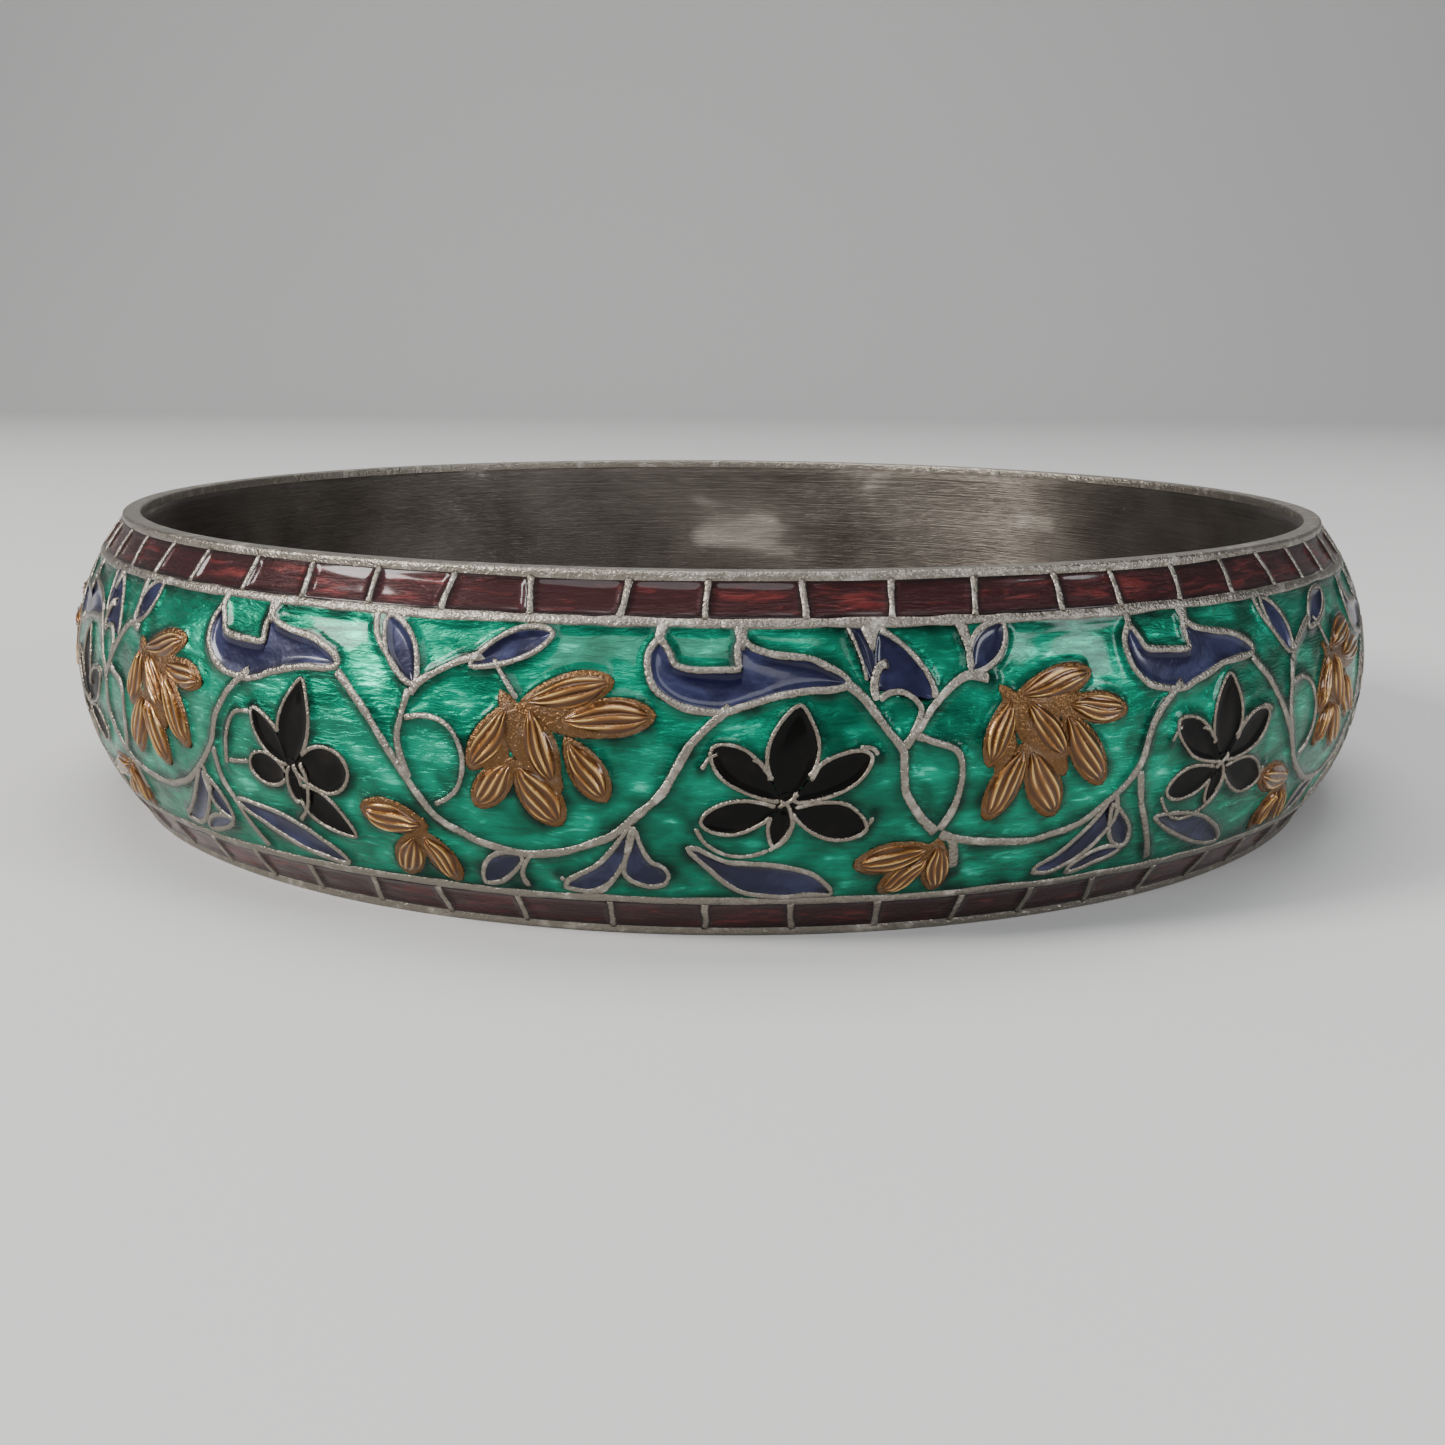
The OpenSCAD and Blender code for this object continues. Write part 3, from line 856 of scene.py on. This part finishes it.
def inlay(piece, edges, ups=15, cast=0.0):
    # a dished patch between two edges: across it v runs by a cosine, so points crowd at the walls;
    # cast paints a shadow on it in a stretch along its left edge
    right, left = edges
    v = -np.cos(np.pi * np.linspace(0, 1, ups))[None]
    grid = between(edges, v)
    width = np.hypot(*(left - right).T)[:, None]
    side = (1 - np.abs(v)) / 2 * width
    run = runAlong((right + left) / 2)[:, None]
    gap = np.minimum(side, np.minimum(run, run[-1] - run) * 0.8)
    x, y = grid[..., 0], grid[..., 1]
    ripple = 0.012 * np.sin(1.9 * x + 2.3 * y) * np.clip(gap * 3, 0, 1)
    inShadow = np.clip((0.5 + v / 2 - shadow["from"]) * shadow["sharp"], 0, 1)
    # the painted shadow goes in the same mark that holds the silver's brown
    warm = cast * inShadow * np.exp(-(((run / run[-1] - shadow["middle"]) / shadow["reach"]) ** 2))
    piece.slab(x, y, glazed(gap, ripple), enamelFloor, np.clip(gap / enamel["deepAt"], 0, 1), warm)


lobe = {
    "grow": 1.22,  # lobes are made this much wider than drawn
    "ground": 0.16,  # silver showing round a lobe
    "behind": 0.3,  # how far the silver reaches past the lobe's root
    "beyond": 0.08,  # and past its tip, besides the ground
    "groundLift": 0.07,
    "groundWarm": 0.85,
    "lift": 0.05,
    "puff": 0.14,
    "ribs": 4,
    "rib": 0.075,
    "edgeDrop": 0.3,
}


def lobeGround(piece, base, tip, half, margin):
    # the plain silver round a lobe: a low cushion whose lift falls as v squared in its middle and
    # as v to the eighth at its edges, and fades at its two ends
    ahead = (tip - base) / np.hypot(*(tip - base))
    edges = leafEdges(base - ahead * lobe["behind"], tip + ahead * (margin + lobe["beyond"]),
                      half + margin, blunt=0.55, fat=0.57, count=26)
    v = np.linspace(-1, 1, 13)[None]
    u = np.linspace(0, 1, 26)[:, None]
    grid = between(edges, v)
    lift = lobe["groundLift"] * (1 - 0.5 * v**2 - 2.2 * v**8) * np.clip(np.sin(np.pi * u) * 6, 0, 1)
    tone = (1 - v**4) * np.ones_like(u)
    piece.slab(grid[..., 0], grid[..., 1], lift, enamelFloor, tone, warm=lobe["groundWarm"])
    # the green is sunk inside this line, which keeps off the cushion's steep edges and narrow ends
    return np.vstack([grid[2:-2, 1], grid[-3:1:-1, -2]])


def ribbedLobe(piece, base, tip, half):
    # a puffed leaf with ribs along it: puff * (1 - v^2), and ribs where a cosine across it peaks,
    # both fading at its ends, less a steep drop at its edges
    edges = leafEdges(base, tip, half, bow=draws.normal(0, 0.05), blunt=0.62, fat=0.56, count=30)
    v = np.linspace(-1, 1, 31)[None]
    u = np.linspace(0, 1, 30)[:, None]
    grid = between(edges, v)
    fade = np.clip(np.sin(np.pi * u) * 2.2, 0, 1)
    offset = draws.normal(0, 0.1) + 0.12 * np.sin(np.pi * u * 1.5 + draws.uniform(0, 6))
    wave = 0.5 + 0.5 * np.cos(np.pi * lobe["ribs"] * (v - offset))
    uneven = 1 + 0.35 * np.sin(7 * u + 3 * v + draws.uniform(0, 6))
    ribTone = wave**2.5 * np.clip((1 - np.abs(v)) * 5, 0, 1) * fade * np.clip(uneven, 0.5, 1.2)
    puff = lobe["lift"] + lobe["puff"] * (1 - v**2) * fade
    lift = puff + lobe["rib"] * ribTone - lobe["edgeDrop"] * v**12
    piece.slab(grid[..., 0], grid[..., 1], lift, enamelFloor, np.clip(ribTone, 0, 1))


def drawRepeat(i):
    # every wall, inlay and lobe of one repeat, as lists of lines and edges on the unrolled band
    drawn = {"walls": [], "blue": [], "black": [], "amber": [], "grounds": [], "outlines": []}
    flower = flowers["narrow" if i in repeats["narrow"] else "broad"]
    scroll = scrolls["round" if i in repeats["round"] else "open"]
    spread = (flowerAngle(i + 1) - flowerAngle(i)) / (scroll["next"] - scroll["at"])

    def onFlower(points):
        return drift(placed(points, flower["at"], i))

    def onHook(points):
        return drift(placed(points, flowers["broad"]["at"], i))

    def onScroll(points):
        return drift(placed(points, scroll["at"], i, spread))

    def faced(move, stations, count=34):
        # edges of a shape whose facing points are moved into place
        s = np.array(stations)
        return stationEdges(np.hstack([move(s[:, :2]), move(s[:, 2:])]), count)

    def bare(kind, edges):
        drawn[kind].append(edges)
        drawn["outlines"].append(outlineOf(edges))

    def inlaid(edges, half):
        bare("blue", edges)
        drawn["walls"].append(ringWalls(outlineOf(edges), half) + (True, 0.0))

    petals = [leafEdges(*onFlower([base, tip]), half, blunt=blunt, fat=fat)
              for base, tip, half, blunt, fat in flower["petals"]]
    for edges in petals:
        others = [outlineOf(other) for other in petals if other is not edges]
        bare("black", edges)
        drawn["walls"] += [wall + (False, warmth["petal"])
                           for wall in partWalls(outlineOf(edges), others, wallHalf["petal"])]
    base, tip, half = flower["hub"]
    bare("black", leafEdges(*onFlower([base, tip]), half, blunt=0.5))
    for half, points in flower["walls"]:
        drawn["walls"].append(drawnWall(onFlower(points), half) + (False, warmth["flower"]))
    drawn["casts"] = {len(drawn["blue"]): 1.0}  # only the hook lies in its upper wall's shadow
    inlaid(faced(onHook, hook["stations"], 60), wallHalf["hook"])
    for half, endHalf, points in hook["spikes"]:
        drawn["walls"].append(drawnWall(onHook(points), half, endHalf) + (False, 0.0))
    for stations in scroll.get("bareStations", []):
        bare("blue", faced(onScroll, stations))
    for stations in scroll["blueStations"]:
        inlaid(faced(onScroll, stations), wallHalf["leaf"])
    for base, tip, half, bow, fat in scroll["blueLeaves"]:
        inlaid(leafEdges(*onScroll([base, tip]), half, bow=bow, fat=fat), wallHalf["leaf"])
    for half, points in scroll["stems"]:
        drawn["walls"].append(drawnWall(onScroll(points), half) + (False, 0.0))
    for half, endHalf, points in scroll["spikes"]:
        drawn["walls"].append(drawnWall(onScroll(points), half, endHalf) + (False, 0.0))
    for base, tip, half in scroll["amberLobes"] + scroll["budLobes"]:
        drawn["amber"].append((*onScroll([base, tip]), half * lobe["grow"]))
    for base, tip, half in scroll["grounds"]:
        drawn["grounds"].append((*onScroll([base, tip]), half))
    return drawn


drawing = {i: drawRepeat(i) for i in range(1, repeats["count"] + 1)}
print("pattern drawn")

# ---- the pattern's pieces ----

blackFlowers = Piece()
allWalls, leafOutlines, lobeOutlines = [], [], []
for i, drawn in drawing.items():
    walls, blueLeaves, amberLeaves = Piece(), Piece(), Piece()
    for path, half, closed, warm in drawn["walls"]:
        walls.wall(path, half, closed, 0.11, warm)
        allWalls.append((path, half))
    leafOutlines += drawn["outlines"]
    for k, edges in enumerate(drawn["blue"]):
        inlay(blueLeaves, edges, cast=drawn["casts"].get(k, 0.0))
    for edges in drawn["black"]:
        inlay(blackFlowers, edges)
    for base, tip, half in drawn["amber"]:
        lobeOutlines.append(lobeGround(walls, base, tip, half, lobe["ground"]))
        ribbedLobe(amberLeaves, base, tip, half)
    for base, tip, half in drawn["grounds"]:
        lobeOutlines.append(lobeGround(walls, base, tip, half, 0.0))
    walls.make(f"scrollWalls{i}", "silver", finishes["silver"], f"scroll_walls_{i}")
    blueLeaves.make(f"blueLeaves{i}", "blue_enamel", finishes["blue"], f"blue_leaves_{i}")
    amberLeaves.make(f"amberLeaves{i}", "amber_enamel", finishes["amber"], f"amber_leaves_{i}")
for outline in lobeOutlines:
    foot = evenly(outline, wallMaking["step"], True)
    allWalls.append((foot, np.full(len(foot), 0.02)))
blackFlowers.make("blackFlowers", "black_enamel", finishes["black"], "black_flowers")
print("walls, inlays and lobes made")


# walls are looked for in a window round each stretch of so many points
search = {"farthest": 3.0, "margin": 0.9, "stretch": 60}


def windowOn(xs, ys, line, margin=0.0):
    # the line's points moved round the band to the grid's side of it, and the part of the grid near them
    half = roundTheBand / 2
    px, py = (line[:, 0] - xs.mean() + half) % roundTheBand - half + xs.mean(), line[:, 1]
    i0, i1 = np.searchsorted(xs, (px.min() - margin, px.max() + margin))
    j0, j1 = np.searchsorted(ys, (py.min() - margin, py.max() + margin))
    near = i0 < i1 and j0 < j1 and px.max() - px.min() < half
    return near, (slice(i0, i1), slice(j0, j1)), px, py


def gapToWalls(xs, ys, walls):
    # distance from each grid point to the nearest wall's flank
    gap = np.full((len(xs), len(ys)), search["farthest"])
    for path, half in walls:
        for start in range(0, len(path), search["stretch"]):
            part = slice(start, start + search["stretch"] + 1)
            near, window, px, py = windowOn(xs, ys, path[part], search["margin"])
            if near:
                dx, dy = xs[window[0], None, None] - px, ys[None, window[1], None] - py
                gap[window] = np.minimum(gap[window], (np.hypot(dx, dy) - half[part]).min(-1))
    return gap


def insideOutlines(xs, ys, outlines):
    # which grid points lie in any of the outlines
    inside = np.zeros((len(xs), len(ys)), bool)
    for loop in outlines:
        near, window, px, py = windowOn(xs, ys, loop)
        if near:
            inside[window] |= insideLoop(xs[window[0], None, None], ys[None, window[1], None], px, py)
    return inside


groundMaking = {
    "start": -5.3,  # degrees from the front to the first repeat's left side
    "step": 0.12,
    "ups": 84,
    "tuck": 0.06,  # under the border walls
    "sunk": -0.2,  # lift under leaves and lobes
    "edge": 0.07,  # how far inside a lobe the green sinks
    "backRows": 9,
}
for i in range(1, repeats["count"] + 1):
    low = (groundMaking["start"] + (i - 1) * pitch) * perDegree
    count = int(pitch * perDegree / groundMaking["step"])
    step = pitch * perDegree / count
    xs = low + step * np.arange(-1, count + 2)  # one more line of points at each end, for the directions
    ys = np.linspace(fieldLow - groundMaking["tuck"], fieldHigh + groundMaking["tuck"], groundMaking["ups"])
    gap = gapToWalls(xs, ys, allWalls)
    gap = np.minimum(gap, np.minimum(ys - fieldLow, fieldHigh - ys)[None])
    x, y = np.meshgrid(xs, ys, indexing="ij")
    turn = x / faceRadius
    waves = 0.014 * np.sin(47 * turn + 1.1 * y) + 0.01 * np.sin(83 * turn - 1.7 * y)
    lift = glazed(gap, waves * np.clip(gap * 2, 0, 1))
    hidden = insideOutlines(xs, ys, leafOutlines)
    hidden |= insideOutlines(xs, ys, lobeOutlines) & (gap > groundMaking["edge"])
    lift = np.where(hidden, groundMaking["sunk"], lift)
    place = onDome(x, y, lift)
    outward = np.cross(np.gradient(place, axis=0), np.gradient(place, axis=1))
    outward /= np.linalg.norm(outward, axis=-1, keepdims=True)
    own = slice(1, -1)
    greenGround = Piece()
    tone = np.clip(gap[own] / enamel["deepAt"], 0, 1)
    greenGround.slab(x[own], y[own], lift[own], enamelFloor, tone,
                     rows=groundMaking["backRows"], outward=outward[own])
    greenGround.make(f"greenGround{i}", "green_enamel", finishes["green"], f"green_ground_{i}")
print("green ground made")

# ---- border rows ----

row = {
    "count": 62,
    "barHalf": 0.13,
    "lean": 0.1,
    "bend": 0.03,
    "uneven": 0.18,  # degrees that a bar may stand off its even place
    "tuck": 0.06,
    "around": 2080,
    "ups": 15,
    "deepAt": 0.35,
}
# degrees of the bars near the front; the rest are spread evenly over what is left of the ring
frontBars = {
    "top": (-43.5, -37, -31, -25, -19, -13, -6.5, -1, 5.5, 11.5, 17.5, 24, 29, 35, 41),
    "bottom": (-20, -14, -7.5, -1, 5, 11, 17, 22.5),
}
rowHeights = {"bottom": (rimHeight, wallLow), "top": (bandHeight - wallLow, bandHeight - rimHeight)}
for label, (y0, y1) in rowHeights.items():
    bars, cells = Piece(), Piece()
    front = frontBars[label]
    rest = np.linspace(front[-1], front[0] + 360, row["count"] - len(front) + 2)[1:-1]
    rest += draws.normal(0, row["uneven"], len(rest))
    angles = np.concatenate([front, rest])
    leans = draws.normal(0, row["lean"], row["count"])
    lines = []
    for angle, lean in zip(angles, leans):
        x = angle * perDegree
        foot, head = np.array([(x - lean, y0 - row["tuck"]), (x + lean, y1 + row["tuck"])])
        bent = (foot + head) / 2 + draws.normal(0, row["bend"], 2)
        path, half = drawnWall([foot, bent, head], row["barHalf"])
        bars.wall(path, half)
        lines.append((path, half))
    bars.make(label + "Bars", "silver", finishes["silver"], label + "_bars")
    xs = np.linspace(0, roundTheBand, row["around"], endpoint=False)
    ys = np.linspace(y0 - row["tuck"], y1 + row["tuck"], row["ups"])
    gap = gapToWalls(xs, ys, lines + [(path + [turns * roundTheBand, 0], half) for path, half in lines
                                      for turns in (-1, 1)])
    gap = np.minimum(gap, np.minimum(ys - y0, y1 - ys)[None])
    x, y = np.meshgrid(xs, ys, indexing="ij")
    ripple = 0.012 * np.sin(61 * x / faceRadius + 2 * y) * np.clip(gap * 3, 0, 1)
    tone = np.clip(gap / row["deepAt"], 0, 1)
    cells.slab(x, y, glazed(gap, ripple), enamelFloor, tone, rows=3, ring=True)
    cells.make(label + "MaroonCells", "maroon_enamel", finishes["maroon"], label + "_maroon_cells")
print("border rows made")

# ---- floor, light and camera ----

stage = {"width": 1.6, "front": -0.5, "back": 0.45, "bend": 0.25, "height": 0.9}


def backdrop():
    # a floor that bends up into a wall: straight, a quarter circle, straight
    turn = np.linspace(0, math.pi / 2, 24)
    y = np.concatenate([[stage["front"]], stage["back"] + stage["bend"] * np.sin(turn),
                        [stage["back"] + stage["bend"]]])
    z = np.concatenate([[0], stage["bend"] * (1 - np.cos(turn)), [stage["height"]]])
    x = np.linspace(-stage["width"] / 2, stage["width"] / 2, 2)
    points = np.stack(np.broadcast_arrays(x[:, None], y, z), -1).reshape(-1, 3)
    k = np.arange(len(y) - 1)
    quads = np.stack([k, k + len(y), k + len(y) + 1, k + 1], -1)
    mesh = bpy.data.meshes.new("backdrop")
    mesh.from_pydata(points.tolist(), [], quads.tolist())
    mesh.polygons.foreach_set("use_smooth", np.ones(len(quads), bool))
    made = bpy.data.objects.new("backdrop", mesh)
    bpy.context.scene.collection.objects.link(made)
    paper = Finish("backdropPaper", {"Base Color": colour(0.62, 0.61, 0.6), "Roughness": 0.85})
    mesh.materials.append(paper.material)


lights = {  # place, aim, size, power, tint
    "key": ((-0.42, -0.15, 0.3), (0, 0, 0.01), (0.14, 0.18), 3.2, (1.0, 0.98, 0.95)),
    "window": ((-0.08, -0.5, 0.42), (0, 0, 0.01), (0.5, 0.2), 1.7, (0.96, 0.98, 1.0)),
    "fill": ((0.42, -0.22, 0.2), (0, 0, 0.01), (0.12, 0.16), 0.9, (0.92, 0.96, 1.0)),
    "over": ((0.0, 0.12, 0.5), (0, 0, 0), (0.4, 0.3), 1.8, (1, 1, 1)),
}
room = {"colour": colour(0.5, 0.52, 0.56), "strength": 0.3}


def softLight(name, place, aim, size, power, tint):
    lamp = bpy.data.lights.new(name, "AREA")
    lamp.shape, lamp.size, lamp.size_y = "RECTANGLE", size[0], size[1]
    lamp.energy, lamp.color = power, tint
    made = bpy.data.objects.new(name, lamp)
    made.location = place
    made.rotation_euler = (Vector(aim) - Vector(place)).to_track_quat("-Z", "Y").to_euler()
    bpy.context.scene.collection.objects.link(made)


camera = {
    "place": (0.0, -0.0911, 0.02195),
    "down": 0.2216,  # radians
    "turned": 0.0011,
    "rolled": 0.0082,
    "lens": 41.4336,
    "sensor": 36.0,
}


def setCamera():
    # right, up and back axes from the turn about Z, the tilt down and the roll about the view
    turned, down, rolled = camera["turned"], camera["down"], camera["rolled"]
    right = Vector((math.cos(turned), -math.sin(turned), 0))
    ahead = Vector((math.sin(turned) * math.cos(down), math.cos(turned) * math.cos(down),
                    -math.sin(down)))
    up = right.cross(ahead)
    across = right * math.cos(rolled) + up * math.sin(rolled)
    upright = up * math.cos(rolled) - right * math.sin(rolled)
    lens = bpy.data.cameras.new("camera")
    lens.sensor_width = camera["sensor"]
    lens.lens = camera["lens"]
    lens.clip_start = 0.005
    made = bpy.data.objects.new("camera", lens)
    axes = Matrix((across, upright, -ahead)).transposed().to_4x4()
    made.matrix_world = Matrix.Translation(camera["place"]) @ axes
    bpy.context.scene.collection.objects.link(made)
    bpy.context.scene.camera = made


backdrop()
for name, settings in lights.items():
    softLight(name, *settings)
world = bpy.data.worlds.new("room")
world.use_nodes = True
world.node_tree.nodes["Background"].inputs["Color"].default_value = room["colour"]
world.node_tree.nodes["Background"].inputs["Strength"].default_value = room["strength"]
bpy.context.scene.world = world
setCamera()
print("stage set")

bpy.context.view_layer.update()
